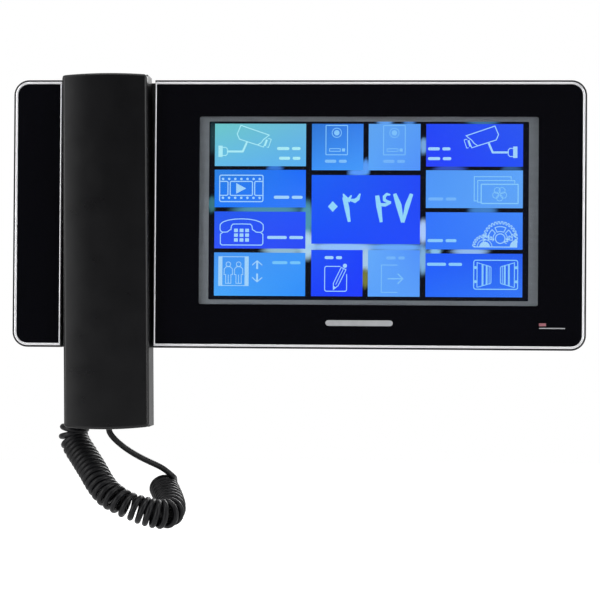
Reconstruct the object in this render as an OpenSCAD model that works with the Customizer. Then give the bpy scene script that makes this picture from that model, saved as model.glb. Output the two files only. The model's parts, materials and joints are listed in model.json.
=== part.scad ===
/* [Body] */
// Width of the monitor body
body_w = 282; // [278:1:290]
// Height of the monitor body
body_h = 132; // [130:1:140]
// Distance from the wall to the face of the acrylic panels
panel_d = 31; // [31:0.5:34]
// Radius of the body's outer corners
corner_r = 7.5; // [6:0.5:9]
// Wall thickness of the mouldings
wall_t = 2.2; // [2:0.1:2.4]

/* [Handset channel] */
// Left side of the channel
channel_x0 = -117; // [-119:0.5:-116]
// Right side of the channel
channel_x1 = -70.8; // [-71:0.1:-69]
// Distance from the wall to the channel's floor
channel_d = 17.5; // [17.5:0.5:18]

/* [Trim] */
// Width of the dark moulded rim outside the trims
rim_w = 0.7; // [0.5:0.1:0.8]
// Width of the silver trims on their outer sides
trim_w = 1.6; // [1.4:0.1:1.8]
// Width of the silver line beside the channel
line_w = 0.8; // [0.6:0.1:1]
// How far the trims stand proud of the panels
trim_proud = 0.4; // [0.2:0.1:0.6]

/* [Display] */
// Centre of the display from the body's centre, sideways
lcd_x = 34.5; // [33:0.5:35]
// Centre of the display from the body's centre, upwards
lcd_z = 1.9; // [0:0.1:2]
// Width of the window in the acrylic
window_w = 166; // [164:1:167]
// Height of the window in the acrylic
window_h = 92.2; // [91:0.2:94]
// Width of the opening in the display's metal bezel
view_w = 157; // [155:1:158]
// Height of the opening in the display's metal bezel
view_h = 87.8; // [87:0.2:89]

/* [Handset] */
// Width of the handset
hs_w = 42; // [41:0.5:42]
// Top of the handset above the body's centre
hs_top = 68.5; // [67:0.5:69]
// Bottom of the handset below the body's centre
hs_bottom = -106; // [-106:0.5:-105.5]
// Distance from the wall to the handset's inner face
hs_back_d = 19; // [19:0.1:19]
// Distance from the wall to the edge of the handset's outer face
hs_front_d = 38; // [37:0.5:40]
// Rise of the handset's crowned outer face
hs_crown = 2.5; // [1.5:0.5:3.5]
// Wall thickness of the handset's shells
hs_wall = 2; // [1.8:0.1:2.2]

/* [Cord] */
// Diameter of the cord itself
cord_dia = 3; // [3:0.1:3]
// Outer diameter of the curly stretch
coil_dia = 14.8; // [14.8:0.1:14.8]

/* [Hidden] */
$fn = 48;
ROUND = 360;

// Depths are distances from the wall towards the front, so the front of the body is at -Y.
panel_t = 2;
frame_d = panel_d - panel_t;
frame_plate_t = 2.5;
split_d = frame_d - 5;
back_d = 4;
back_in_d = back_d + wall_t;
floor_t = 2;
floor_in_d = channel_d - floor_t;
channel_x = (channel_x0 + channel_x1) / 2;
wall_x0 = channel_x0 - floor_t;
wall_x1 = channel_x1 + floor_t;
z_in = body_h / 2 - wall_t;
GAP = 0.1;
CUT = 1;

// Housing screws
screw_xz = [[132, 57], [132, -57], [-61.5, 57], [-61.5, -57], [-128, 57], [-128, -57]];
boss_r = 4;
head_seat_d = 8;

// Wall bracket
bracket_w = 200;
bracket_h = 100;
bracket_t = 1.2;
hook_x = 86;
hook_zs = [30, -34];
hook_w = 10;
neck_h = 2;
lip_h = 5;
lift_travel = 6;
wall_hole_x = 70;
wall_hole_z = 38;
wall_hole_r = 2.25;
cable_w = 64;
cable_h = 30;
cable_z = -29;

// Display stack
lcd_out_w = 168;
lcd_out_h = 100;
lcd_face_d = frame_d - 0.1;
lcd_back_d = 23.6;
retainer_xs = [-56, 125];
retainer_zs = [30, -25];

// Circuit board
board_x0 = -42;
board_x1 = 126;
board_z0 = -58;
board_z1 = 30;
board_d = 12.5;
board_t = 1.6;
board_front_d = board_d + board_t;
board_post_xz = [[-36, -52], [-36, 24], [114, 24], [104, -52]];
led_x = 119.9;
led_z = -53.4;

// Speaker
speaker_x = 108;
speaker_z = 47;
speaker_r = 14;

// Cradle and hook switch
boss_ear_r = 13;
recess_ear_r = 16.5;
ear_z = 42;
hang_gap = 0.3;
nib_w = 14;
nib_h = 8;
nib_z = -44;
pocket_w = 18;
pocket_h = 16;
plunger_r = 4;
plunger_z = 4;
cradle_t = 0.8;
cradle_screw_z = [20, -26];

// Power switch
switch_x = 96;
switch_d = 9.8;

// Handset
hs_len = hs_top - hs_bottom;
hs_groove_d = hs_front_d - 2.1;
hs_groove_h = 0.7;
hs_lip_d = hs_groove_d - hs_groove_h;
hs_end_rise = [0.6, 1.1];
hs_boss_d = 24.2;
hs_screw_z = [61, -66];
mic_z = -80;
hs_lean = 0.75;

// Modular plug and socket
plug_w = 7.6;
plug_h = 6.5;
socket_w = 10.4;
socket_h = 8.6;
socket_len = 13;
base_x = -106;
base_d = 10.9;
base_plug_z = -69.5;
hs_plug_d = 28.1;
hs_plug_z = -105.3;
plug_reach = 12;

// Route of the cord's straight end at the handset, from the plug to the curly stretch
lead_route = [
    [-92.9, -28.1, -105.3], [-92.88, -28.1, -106.8], [-92, -27.9, -109], [-89.4, -26.9, -112.1],
    [-85.8, -25.5, -115.3], [-82, -23.6, -118.1], [-78.2, -21.7, -120.5], [-74.4, -19.8, -122.6],
    [-70.6, -18, -124.5], [-67, -16.4, -126.6], [-63.4, -14.7, -129.7]
];
// Centreline of the curly stretch: it stands off the wall where it hangs lowest
coil_route = [
    [-68.2, -9, -135.6], [-66.2, -14, -138], [-64.3, -19.2, -140.4], [-62.7, -24.1, -142.6],
    [-61.7, -28.6, -144.5], [-61.7, -32.6, -146.2], [-63.6, -36, -147.2], [-67.8, -37.9, -147],
    [-72.5, -38.2, -146], [-77.2, -38.2, -144.5], [-81.8, -37.8, -143], [-86.2, -36.6, -141],
    [-92.4, -33.2, -137.6], [-97.2, -28.8, -132.8], [-101, -23.8, -128], [-104.8, -19, -123.6],
    [-108.4, -14.6, -119.4], [-111.8, -11, -115.2], [-113.8, -9.2, -110.6], [-113, -8.6, -105.8]
];
// Route of the cord's straight end at the base, from the curly stretch to the plug
tail_route = [
    [-112, -9, -103.8], [-110, -9.5, -98.5], [-107.6, -10.3, -91], [-106.3, -10.8, -83],
    [-106, -10.9, -76], [-106, -10.9, -69.5]
];

// ---- Shared shapes ----

// Leans the handset a little in its channel, its top to the left, as it hangs.
module lean() translate([channel_x, 0, (hs_top + hs_bottom) / 2]) rotate([0, -hs_lean, 0])
    translate([-channel_x, 0, -(hs_top + hs_bottom) / 2]) children();

// Extrudes a flat outline in X and Z between two distances from the wall.
module plate(d0, d1) {
    translate([0, -d0, 0]) rotate([90, 0, 0]) linear_extrude(height = d1 - d0) children();
}

// A block between two X values, two distances from the wall and two Z values.
module block(x0, x1, d0, d1, z0, z1) {
    translate([x0, -d1, z0]) cube([x1 - x0, d1 - d0, z1 - z0]);
}

// A round post that stands out from the wall.
module post(x, z, d0, d1, r) {
    translate([x, -d0, z]) rotate([90, 0, 0]) cylinder(r = r, h = d1 - d0);
}

// A rectangle with round corners, centred.
module round_rect(w, h, r) {
    square([w - 2 * r, h], center = true);
    square([w, h - 2 * r], center = true);
    for (sx = [-1, 1], sz = [-1, 1]) translate([sx * (w / 2 - r), sz * (h / 2 - r)]) circle(r = r);
}

// The outline of one panel: round corners on its outer side, square ones beside the channel.
module panel_outline(x0, x1, h, r, outer) {
    corner_x = outer < 0 ? x0 + r : x1 - r;
    translate([outer < 0 ? corner_x : x0, -h / 2]) square([x1 - x0 - r, h]);
    translate([outer < 0 ? x0 : corner_x, -h / 2 + r]) square([r, h - 2 * r]);
    for (sz = [-1, 1]) translate([corner_x, sz * (h / 2 - r)]) circle(r = r);
}

// The outline of the body shrunk by a margin.
module body_outline(margin) {
    round_rect(body_w - 2 * margin, body_h - 2 * margin, corner_r - margin);
}

// The outline of the handset shrunk by a margin, with gently arched ends.
module handset_outline(margin) {
    w = hs_w - 2 * margin;
    top_r = (pow(hs_w / 2, 2) + pow(hs_end_rise[0], 2)) / (2 * hs_end_rise[0]);
    bottom_r = (pow(hs_w / 2, 2) + pow(hs_end_rise[1], 2)) / (2 * hs_end_rise[1]);
    translate([channel_x, 0]) intersection() {
        translate([-w / 2, hs_bottom + margin]) square([w, hs_len - 2 * margin]);
        translate([0, hs_top - top_r]) circle(r = top_r - margin, $fn = 4 * ROUND);
        translate([0, hs_bottom + bottom_r]) circle(r = bottom_r - margin, $fn = 4 * ROUND);
    }
}

// A screw that points away from the wall: a pan head and a plain shank.
module screw(x, z, head_d0, head_h, head_r, shank_r, tip_d) {
    difference() {
        post(x, z, head_d0, head_d0 + head_h, head_r);
        for (turn = [0, 90]) {
            translate([x, -head_d0, z]) rotate([0, turn, 0])
                cube([head_r * 1.2, head_h, head_r * 0.24], center = true);
        }
    }
    post(x, z, head_d0 + head_h, tip_d, shank_r);
}

// The same screw driven towards the wall.
module screw_in(x, z, head_d1, head_h, head_r, shank_r, tip_d) {
    difference() {
        post(x, z, head_d1 - head_h, head_d1, head_r);
        for (turn = [0, 90]) {
            translate([x, -head_d1, z]) rotate([0, turn, 0])
                cube([head_r * 1.2, head_h, head_r * 0.24], center = true);
        }
    }
    post(x, z, tip_d, head_d1 - head_h, shank_r);
}

// Unit vector, a route's direction at a point, and the ring's first axis, carried on untwisted.
function unit(v) = v / norm(v);
function along(p, i) = unit(p[min(i + 1, len(p) - 1)] - p[max(i - 1, 0)]);
function across(p, i) = let (t = along(p, i), n = i == 0 ? [1, 0, 0] : across(p, i - 1))
    unit(n - (n * t) * t);

// A tube swept along a route as one closed solid.
module tube(route, r, sides) {
    n = len(route);
    points = [for (i = [0:n - 1], k = [0:sides - 1])
        let (t = along(route, i), u = across(route, i), v = cross(t, u), a = 360 * k / sides)
        route[i] + r * (cos(a) * u + sin(a) * v)];
    walls = [for (i = [0:n - 2], k = [0:sides - 1])
        let (k2 = (k + 1) % sides)
        [i * sides + k, i * sides + k2, (i + 1) * sides + k2, (i + 1) * sides + k]];
    start = [for (k = [sides - 1:-1:0]) k];
    end = [for (k = [0:sides - 1]) (n - 1) * sides + k];
    polyhedron(points = points, faces = concat(walls, [start], [end]), convexity = 8);
}

// ---- Wall side ----

module hook(x, z) {
    block(x - hook_w / 2, x + hook_w / 2, bracket_t, 7.7, z, z + neck_h);
    block(x - hook_w / 2, x + hook_w / 2, 6.5, 7.7, z + neck_h, z + neck_h + lip_h);
}

module wall_bracket() color("silver") {
    difference() {
        plate(0, bracket_t) round_rect(bracket_w, bracket_h, 5);
        block(-cable_w / 2 - 4, cable_w / 2 + 4, -CUT, bracket_t + CUT, cable_z - 17, cable_z + 18);
        for (sx = [-1, 1], sz = [-1, 1])
            post(sx * wall_hole_x, sz * wall_hole_z, -CUT, bracket_t + CUT, wall_hole_r);
    }
    for (sx = [-1, 1], z = hook_zs) hook(sx * hook_x, z);
}

// ---- Monitor shell ----

module hook_slot(x, z) {
    w = hook_w / 2 + 1.2;
    block(x - w, x + w, back_d - CUT, back_in_d + CUT, z - lift_travel - 0.8, z + neck_h);
}

module rear_housing() color([0.06, 0.06, 0.065]) difference() {
    union() {
        difference() {
            plate(0.5, split_d) body_outline(0);
            plate(back_in_d, split_d + CUT) body_outline(wall_t);
            plate(-CUT, back_d) body_outline(wall_t);
        }
        for (p = screw_xz) post(p[0], p[1], back_in_d, split_d, boss_r);
        for (p = board_post_xz) post(p[0], p[1], back_in_d, board_d, 3);
    }
    // notches in the top and bottom walls where the channel runs out
    for (sz = [-1, 1]) mirror([0, 0, sz < 0 ? 1 : 0])
        block(wall_x0 - 0.3, wall_x1 + 0.3, floor_in_d, split_d + CUT, z_in - CUT, body_h / 2 + CUT);
    for (p = screw_xz) {
        post(p[0], p[1], back_d - CUT, head_seat_d, 3.2);
        post(p[0], p[1], head_seat_d - CUT, split_d + CUT, 1.7);
    }
    for (p = board_post_xz) post(p[0], p[1], 7, board_d + CUT, 1.2);
    for (sx = [-1, 1], z = hook_zs) hook_slot(sx * hook_x, z);
    block(-cable_w / 2, cable_w / 2, back_d - CUT, back_in_d + CUT, cable_z - 15, cable_z + 15);
    // opening for the cord's socket
    block(base_x - 4.2, base_x + 4.2, base_d - 3.7, base_d + 3.7, -body_h / 2 - CUT, -z_in + CUT);
    // slot for the power switch's slider
    block(switch_x - 4, switch_x + 4, switch_d - 1.4, switch_d + 1.4, -body_h / 2 - CUT, -z_in + CUT);
    // speaker slots in the back
    for (i = [-3:3])
        block(speaker_x - 0.9 + 3.4 * i, speaker_x + 0.9 + 3.4 * i, back_d - CUT, back_in_d + CUT,
            speaker_z - 10 + abs(i) * 1.6, speaker_z + 10 - abs(i) * 1.6);
    // cooling slots in the top and bottom walls
    for (i = [0:13], sz = [-1, 1]) mirror([0, 0, sz < 0 ? 1 : 0])
        block(-30 + 7 * i, -28.2 + 7 * i, 9, 20, z_in - CUT, body_h / 2 + CUT);
}

module front_frame() color([0.03, 0.03, 0.035]) difference() {
    union() {
        difference() {
            plate(split_d, frame_d) body_outline(0);
            plate(split_d - CUT, frame_d - frame_plate_t) body_outline(wall_t);
        }
        difference() {
            plate(frame_d, panel_d - 0.5) body_outline(0);
            plate(frame_d - CUT, panel_d) body_outline(rim_w);
        }
        block(wall_x0, wall_x1, floor_in_d, frame_d, -body_h / 2, body_h / 2);
        for (p = screw_xz) post(p[0], p[1], split_d, frame_d - CUT, boss_r);
        for (x = retainer_xs, z = retainer_zs) post(x, z, 23.4, frame_d - CUT, 3);
    }
    block(channel_x0, channel_x1, channel_d, panel_d + CUT, -body_h, body_h);
    translate([lcd_x, 0, lcd_z]) plate(split_d - CUT, frame_d + CUT)
        square([lcd_out_w + 0.6, lcd_out_h + 0.6], center = true);
    block(led_x - 1.9, led_x + 1.9, split_d, frame_d + CUT, led_z - 0.9, led_z + 0.9);
    post(channel_x, plunger_z, floor_in_d - CUT, channel_d + CUT, plunger_r + 0.5);
    for (z = cradle_screw_z) post(channel_x, z, floor_in_d - CUT, channel_d + CUT, 1.2);
    for (p = screw_xz) post(p[0], p[1], split_d - CUT, frame_d - 1, 1.2);
    for (x = retainer_xs, z = retainer_zs) post(x, z, 22, frame_d - 1, 1);
}

module trim(x0, x1, outer) {
    outer_x0 = outer < 0 ? x0 + rim_w : x0;
    outer_x1 = outer < 0 ? x1 : x1 - rim_w;
    inner_x0 = outer < 0 ? outer_x0 + trim_w : outer_x0 + line_w;
    inner_x1 = outer < 0 ? outer_x1 - line_w : outer_x1 - trim_w;
    h = body_h - 2 * rim_w;
    difference() {
        plate(frame_d, panel_d + trim_proud) panel_outline(outer_x0, outer_x1, h, corner_r - rim_w, outer);
        plate(frame_d - CUT, panel_d + CUT)
            panel_outline(inner_x0, inner_x1, h - 2 * trim_w, corner_r - rim_w - trim_w, outer);
    }
}

module trim_left() color([0.85, 0.85, 0.87]) trim(-body_w / 2, channel_x0, -1);

module trim_right() color([0.85, 0.85, 0.87]) trim(channel_x1, body_w / 2, 1);

module panel(x0, x1, outer) {
    edge = rim_w + trim_w + GAP / 2;
    line = line_w + GAP / 2;
    plate(frame_d, panel_d)
        panel_outline(outer < 0 ? x0 + edge : x0 + line, outer < 0 ? x1 - line : x1 - edge,
            body_h - 2 * edge, corner_r - edge, outer);
}

module panel_left() color([0.01, 0.01, 0.015]) panel(-body_w / 2, channel_x0, -1);

module panel_right() color([0.01, 0.01, 0.015]) difference() {
    panel(channel_x1, body_w / 2, 1);
    translate([lcd_x, 0, lcd_z]) plate(frame_d - CUT, panel_d + CUT)
        round_rect(window_w + 2 * GAP, window_h + 2 * GAP, 1);
    block(led_x - 1.8, led_x + 1.8, frame_d - CUT, panel_d + CUT, led_z - 0.8, led_z + 0.8);
}

module touch_glass() color([0.7, 0.8, 0.85, 0.4])
    translate([lcd_x, 0, lcd_z]) plate(frame_d + 0.1, panel_d) round_rect(window_w, window_h, 0.9);

module light_pipe() color([0.75, 0.08, 0.1])
    block(led_x - 1.7, led_x + 1.7, 15.4, panel_d, led_z - 0.7, led_z + 0.7);

module cradle() color([0.05, 0.05, 0.055]) difference() {
    union() {
        translate([channel_x, 0, 8]) plate(channel_d, channel_d + cradle_t) round_rect(36, 112, 3);
        post(channel_x, ear_z + recess_ear_r - boss_ear_r - hang_gap, channel_d, 21.3, boss_ear_r);
        block(channel_x - nib_w / 2, channel_x + nib_w / 2, channel_d, 21.3,
            nib_z + pocket_h / 2 - nib_h - hang_gap, nib_z + pocket_h / 2 - hang_gap);
    }
    post(channel_x, plunger_z, channel_d - CUT, channel_d + 2, plunger_r + 0.5);
    for (z = cradle_screw_z) post(channel_x, z, channel_d - CUT, channel_d + 2, 1.5);
    post(channel_x, ear_z + 3.2, 19, 23, boss_ear_r - 3);
}

module cradle_pads() color([0.1, 0.1, 0.1]) for (sx = [-1, 1], z = [16, -24])
    translate([channel_x + sx * 13, 0, z]) plate(channel_d + cradle_t, hs_back_d) round_rect(6, 18, 2);

module cradle_screws() color("silver") for (z = cradle_screw_z)
    screw_in(channel_x, z, channel_d + cradle_t + 0.6, 0.6, 2.2, 1.1, 11.5);

module housing_screws() color("silver") for (p = screw_xz)
    screw(p[0], p[1], head_seat_d - 2, 2, 2.8, 1.1, frame_d - 1.5);

// ---- Display ----

module lcd_bezel() color([0.45, 0.47, 0.48]) translate([lcd_x, 0, lcd_z]) difference() {
    plate(lcd_back_d, lcd_face_d) square([lcd_out_w, lcd_out_h], center = true);
    plate(lcd_back_d - CUT, lcd_face_d - 0.5) square([lcd_out_w - 1, lcd_out_h - 1], center = true);
    plate(lcd_back_d, lcd_face_d + CUT) round_rect(view_w, view_h, 0.6);
}

module lcd_cell() color([0.1, 0.2, 0.5]) translate([lcd_x, 0, lcd_z])
    plate(lcd_face_d - 2, lcd_face_d - 0.6) square([lcd_out_w - 4, lcd_out_h - 3], center = true);

module light_guide() color([0.9, 0.92, 0.9]) translate([lcd_x, 0, lcd_z])
    plate(lcd_back_d + 0.8, lcd_face_d - 2.1) square([lcd_out_w - 5, lcd_out_h - 4], center = true);

module lcd_tray() color([0.6, 0.62, 0.64]) translate([lcd_x, 0, lcd_z])
    plate(lcd_back_d, lcd_back_d + 0.7) square([lcd_out_w - 2, lcd_out_h - 2], center = true);

module lcd_retainers() color("silver") for (z = retainer_zs) difference() {
    block(retainer_xs[0] - 4, retainer_xs[1] + 4, 22.4, 23.4, z - 5, z + 5);
    for (x = retainer_xs) post(x, z, 22, 24, 1.3);
}

module retainer_screws() color("gray") for (x = retainer_xs, z = retainer_zs)
    screw(x, z, 20.8, 1.6, 2.3, 0.95, frame_d - 2);

module lcd_flex() color([0.75, 0.5, 0.15]) {
    block(20, 50, 23.35, 23.55, -49.4, -42);
    block(20, 50, 16, 23.55, -49.6, -49.4);
    block(20, 50, 16, 16.2, -49.4, -44);
}

module flex_socket() color([0.93, 0.9, 0.82]) block(18, 52, board_front_d, 16, -47, -42);

// ---- Circuit board ----

module main_board() color([0.05, 0.3, 0.12]) difference() {
    block(board_x0, board_x1, board_d, board_front_d, board_z0, board_z1);
    for (p = board_post_xz) post(p[0], p[1], board_d - CUT, board_front_d + CUT, 1.5);
}

module board_screws() color("silver") for (p = board_post_xz)
    screw_in(p[0], p[1], board_front_d + 1.6, 1.6, 2.4, 1.1, 8);

module power_led() color([0.9, 0.2, 0.2])
    block(led_x - 1, led_x + 1, board_front_d, board_front_d + 0.9, led_z - 0.6, led_z + 0.6);

module processor() color([0.08, 0.08, 0.08]) {
    block(24, 41, board_front_d, board_front_d + 1.4, -12, 5);
    block(26, 39, board_front_d + 1.4, board_front_d + 4.4, -10, 3);
}

module memory_chips() color([0.1, 0.1, 0.1]) for (x = [50, 66], z = [-14, 2])
    block(x, x + 12, board_front_d, board_front_d + 1.1, z, z + 8);

module capacitors() color([0.15, 0.15, 0.2]) {
    for (i = [0:3]) post(-30 + 11 * i, -30, board_front_d, board_front_d + 7.4, 4);
    for (i = [0:2]) post(84 + 9 * i, 18, board_front_d, board_front_d + 6.2, 3.15);
}

module inductors() color([0.25, 0.25, 0.26]) {
    for (z = [-19, -4]) block(-34, -22, board_front_d, board_front_d + 5, z, z + 12);
    post(-12, -8, board_front_d, board_front_d + 6, 6);
}

module clock_cell() color([0.8, 0.8, 0.82]) {
    post(92, -14, board_front_d + 1, board_front_d + 4.2, 10);
    block(80, 104, board_front_d, board_front_d + 1, -24.5, -3.5);
}

terminal_n = 10;
terminal_pitch = 5.08;
function terminal_x(i) = (i - (terminal_n - 1) / 2) * terminal_pitch;

module terminal_block() color([0.1, 0.45, 0.2]) difference() {
    block(-terminal_n * terminal_pitch / 2, terminal_n * terminal_pitch / 2, 7, board_d, -33, -23);
    for (i = [0:terminal_n - 1]) {
        translate([terminal_x(i), -9.9, -34]) cylinder(r = 1.4, h = 6);
        post(terminal_x(i), -25.5, 6, 9.4, 1.9);
    }
}

module terminal_screws() color("silver") for (i = [0:terminal_n - 1]) difference() {
    post(terminal_x(i), -25.5, 7.4, 9.4, 1.8);
    translate([terminal_x(i), -7.4, -25.5]) cube([4, 1.2, 0.5], center = true);
}

module wire_socket(x, z, pins) {
    w = 2.5 * (pins + 1);
    difference() {
        block(x, x + w, board_front_d, board_front_d + 6, z, z + 6);
        block(x + 1, x + w - 1, board_front_d + 1, board_front_d + 7, z + 1, z + 5);
    }
}

module wire_sockets() color([0.92, 0.9, 0.85]) {
    wire_socket(-38, 12.5, 4);
    wire_socket(-20, 12.5, 2);
    wire_socket(-8, 12.5, 2);
    wire_socket(60, 20, 2);
}

// ---- Speaker ----

module speaker_basket() color([0.5, 0.5, 0.52]) difference() {
    post(speaker_x, speaker_z, back_in_d + 0.1, 10, speaker_r);
    post(speaker_x, speaker_z, back_in_d - CUT, 9.4, speaker_r - 1.6);
    post(speaker_x, speaker_z, 9, 11, 5.2);
}

module speaker_cone() color([0.12, 0.12, 0.12]) translate([speaker_x, 0, speaker_z]) rotate([90, 0, 0])
    rotate_extrude($fn = 96) polygon([[0, 7.7], [3.5, 8.4], [5, 8.6], [11.2, 6.9], [12.3, 6.9],
        [12.3, 7.3], [11.4, 7.3], [5.1, 9], [3.5, 8.8], [0, 8.1]]);

module speaker_magnet() color([0.3, 0.3, 0.32]) post(speaker_x, speaker_z, 10, 15, 8);

// ---- Power switch ----

module power_switch() color([0.7, 0.7, 0.72]) difference() {
    block(switch_x - 6, switch_x + 6, switch_d - 2.6, switch_d + 2.4, -z_in + 0.1, -58.2);
    block(switch_x - 4, switch_x + 4, switch_d - 1.2, switch_d + 1.2, -z_in - CUT, -60.5);
}

module power_slider() color([0.08, 0.08, 0.085]) {
    block(switch_x - 3, switch_x, switch_d - 1.1, switch_d + 1.1, -body_h / 2 + 0.5, -61);
    for (i = [0:2])
        block(switch_x - 2.7 + 0.9 * i, switch_x - 2.3 + 0.9 * i, switch_d - 1.1, switch_d + 1.1,
            -body_h / 2, -body_h / 2 + 0.5);
}

// ---- Hook switch ----

module hook_switch() color([0.12, 0.12, 0.14]) difference() {
    block(channel_x - 8, channel_x + 8, back_in_d + 0.3, floor_in_d, plunger_z - 8, plunger_z + 8);
    post(channel_x, plunger_z, 8, floor_in_d + CUT, plunger_r + 0.5);
}

module hook_plunger() color([0.75, 0.75, 0.75]) {
    post(channel_x, plunger_z, 13, hs_back_d - 0.1, plunger_r);
    post(channel_x, plunger_z, 9.2, 13, 1.8);
}

spring_r = 2.9;
spring_wire_r = 0.27;
spring_turns = 4;
spring_steps = 12;

module hook_spring() color("silver") tube([for (i = [0:spring_turns * spring_steps])
    let (a = 360 * i / spring_steps)
    [channel_x + spring_r * cos(a), -8.6 - 3.9 * i / (spring_turns * spring_steps),
        plunger_z + spring_r * sin(a)]], spring_wire_r, 6);

// ---- Modular socket and plug ----

module socket(x, d, mouth_z) difference() {
    block(x - socket_w / 2, x + socket_w / 2, d - socket_h / 2, d + socket_h / 2,
        mouth_z, mouth_z + socket_len);
    block(x - plug_w / 2 - GAP, x + plug_w / 2 + GAP, d - plug_h / 2 - GAP, d + plug_h / 2 + GAP,
        mouth_z - CUT, mouth_z + socket_len - 1.5);
}

module plug(x, d, end_z) difference() {
    block(x - plug_w / 2, x + plug_w / 2, d - plug_h / 2, d + plug_h / 2, end_z, end_z + plug_reach);
    for (i = [-1.5:1.5])
        block(x + i * 1.3 - 0.3, x + i * 1.3 + 0.3, d + plug_h / 2 - 1.5, d + plug_h / 2 + CUT,
            end_z + plug_reach - 5, end_z + plug_reach + CUT);
}

module base_socket() color([0.15, 0.15, 0.16]) socket(base_x, base_d, -z_in + 0.1);

module base_plug() color([0.8, 0.82, 0.84, 0.7]) plug(base_x, base_d, base_plug_z);

module handset_socket() color([0.15, 0.15, 0.16]) lean()
    socket(channel_x - 0.1, hs_plug_d, hs_bottom + hs_wall + 0.1);

module handset_plug() color([0.8, 0.82, 0.84, 0.7]) lean() plug(channel_x - 0.1, hs_plug_d, hs_plug_z);

// ---- Handset ----

module handset_front() color([0.08, 0.08, 0.085]) lean() {
    crown_r = (pow(hs_w / 2, 2) + pow(hs_crown, 2)) / (2 * hs_crown);
    difference() {
        intersection() {
            plate(hs_groove_d, hs_front_d + hs_crown) handset_outline(0);
            translate([channel_x, crown_r - hs_front_d - hs_crown, hs_bottom - CUT])
                cylinder(r = crown_r, h = hs_len + 2 * CUT, $fn = ROUND);
        }
        plate(hs_groove_d - CUT, hs_front_d - 0.4) handset_outline(2.8);
    }
    difference() {
        plate(hs_lip_d, hs_groove_d) handset_outline(0.8);
        plate(hs_lip_d - CUT, hs_groove_d + CUT) handset_outline(2.8);
    }
    for (z = hs_screw_z) difference() {
        post(channel_x, z, hs_boss_d, hs_front_d, 3.2);
        post(channel_x, z, hs_boss_d - CUT, hs_front_d - 3, 1.1);
    }
}

module handset_back() color([0.08, 0.08, 0.085]) lean() difference() {
    union() {
        difference() {
            plate(hs_back_d, hs_lip_d) handset_outline(0);
            plate(hs_back_d + hs_wall, hs_lip_d + CUT) handset_outline(hs_wall);
        }
        post(channel_x, ear_z, hs_back_d, hs_boss_d, recess_ear_r + 1.8);
        block(channel_x - pocket_w / 2 - 1.8, channel_x + pocket_w / 2 + 1.8, hs_back_d, hs_boss_d,
            nib_z - pocket_h / 2 - 1.8, nib_z + pocket_h / 2 + 1.8);
        for (z = hs_screw_z) post(channel_x, z, hs_back_d, hs_boss_d, 4.4);
    }
    post(channel_x, ear_z, hs_back_d - CUT, 22.5, recess_ear_r);
    block(channel_x - pocket_w / 2, channel_x + pocket_w / 2, hs_back_d - CUT, 22.5,
        nib_z - pocket_h / 2, nib_z + pocket_h / 2);
    for (z = hs_screw_z) {
        post(channel_x, z, hs_back_d - CUT, 22.4, 2.7);
        post(channel_x, z, 22, 25, 1.5);
    }
    // sound holes at the ear and the mouth
    post(channel_x, ear_z, 22, 25, 1.2);
    for (a = [0:60:300]) post(channel_x + 5 * cos(a), ear_z + 5 * sin(a), 22, 25, 1.2);
    for (i = [-1:1]) post(channel_x + 4 * i, mic_z, hs_back_d - CUT, hs_back_d + 3, 0.9);
    // opening for the cord's socket
    block(channel_x - 4.3, channel_x + 4.1, hs_plug_d - 3.7, hs_plug_d + 3.7, hs_bottom - CUT,
        hs_bottom + hs_wall + CUT);
}

module handset_screws() color("silver") lean() for (z = hs_screw_z)
    screw(channel_x, z, 20.6, 1.8, 2.4, 1, hs_front_d - 4);

module handset_weight() color([0.45, 0.45, 0.47]) lean()
    block(channel_x - 13, channel_x + 13, 21, 29, -22, 14);

module handset_board() color([0.05, 0.3, 0.12]) lean()
    block(channel_x - 12, channel_x + 12, hs_boss_d, hs_boss_d + 1.6, -60, -36);

module ear_capsule() color([0.35, 0.35, 0.36]) lean() {
    post(channel_x, ear_z, 25.6, 30.6, 13);
    post(channel_x, ear_z, 30.6, 33.6, 8);
}

module ear_gasket() color([0.05, 0.05, 0.05]) lean() difference() {
    post(channel_x, ear_z, hs_boss_d, 25.6, 13);
    post(channel_x, ear_z, hs_boss_d - CUT, 26, 9);
}

module mic_capsule() color([0.75, 0.75, 0.77]) lean() post(channel_x, mic_z, 22.1, 26.6, 4.85);

module mic_boot() color([0.06, 0.06, 0.06]) lean() difference() {
    post(channel_x, mic_z, hs_back_d + hs_wall, 27.4, 6.4);
    post(channel_x, mic_z, 22, 28, 4.9);
    post(channel_x, mic_z, hs_back_d, 23, 3);
}

// ---- Cord ----

module cord_lead() color([0.05, 0.05, 0.05]) tube(lead_route, cord_dia / 2, 8);

module cord_coil() color([0.05, 0.05, 0.05]) tube(coil_route, coil_dia / 2, 12);

module cord_tail() color([0.05, 0.05, 0.05]) tube(tail_route, cord_dia / 2, 8);

wall_bracket();
rear_housing();
front_frame();
trim_left();
trim_right();
panel_left();
panel_right();
touch_glass();
light_pipe();
cradle();
cradle_pads();
cradle_screws();
housing_screws();
lcd_bezel();
lcd_cell();
light_guide();
lcd_tray();
lcd_retainers();
retainer_screws();
lcd_flex();
flex_socket();
main_board();
board_screws();
power_led();
processor();
memory_chips();
capacitors();
inductors();
clock_cell();
terminal_block();
terminal_screws();
wire_sockets();
speaker_basket();
speaker_cone();
speaker_magnet();
power_switch();
power_slider();
hook_switch();
hook_plunger();
hook_spring();
base_socket();
base_plug();
handset_front();
handset_back();
handset_screws();
handset_weight();
handset_board();
ear_capsule();
ear_gasket();
mic_capsule();
mic_boot();
handset_socket();
handset_plug();
cord_lead();
cord_coil();
cord_tail();
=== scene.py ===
"""Wall-hung video intercom monitor: the visual model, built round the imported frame.

Lengths in the lists and constants below are millimetres, and meshes are made in metres.
The front of the monitor faces -Y, and depth means distance from the wall towards the front.
"""
import json
import math

import bpy
from mathutils import Matrix, Vector


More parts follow.
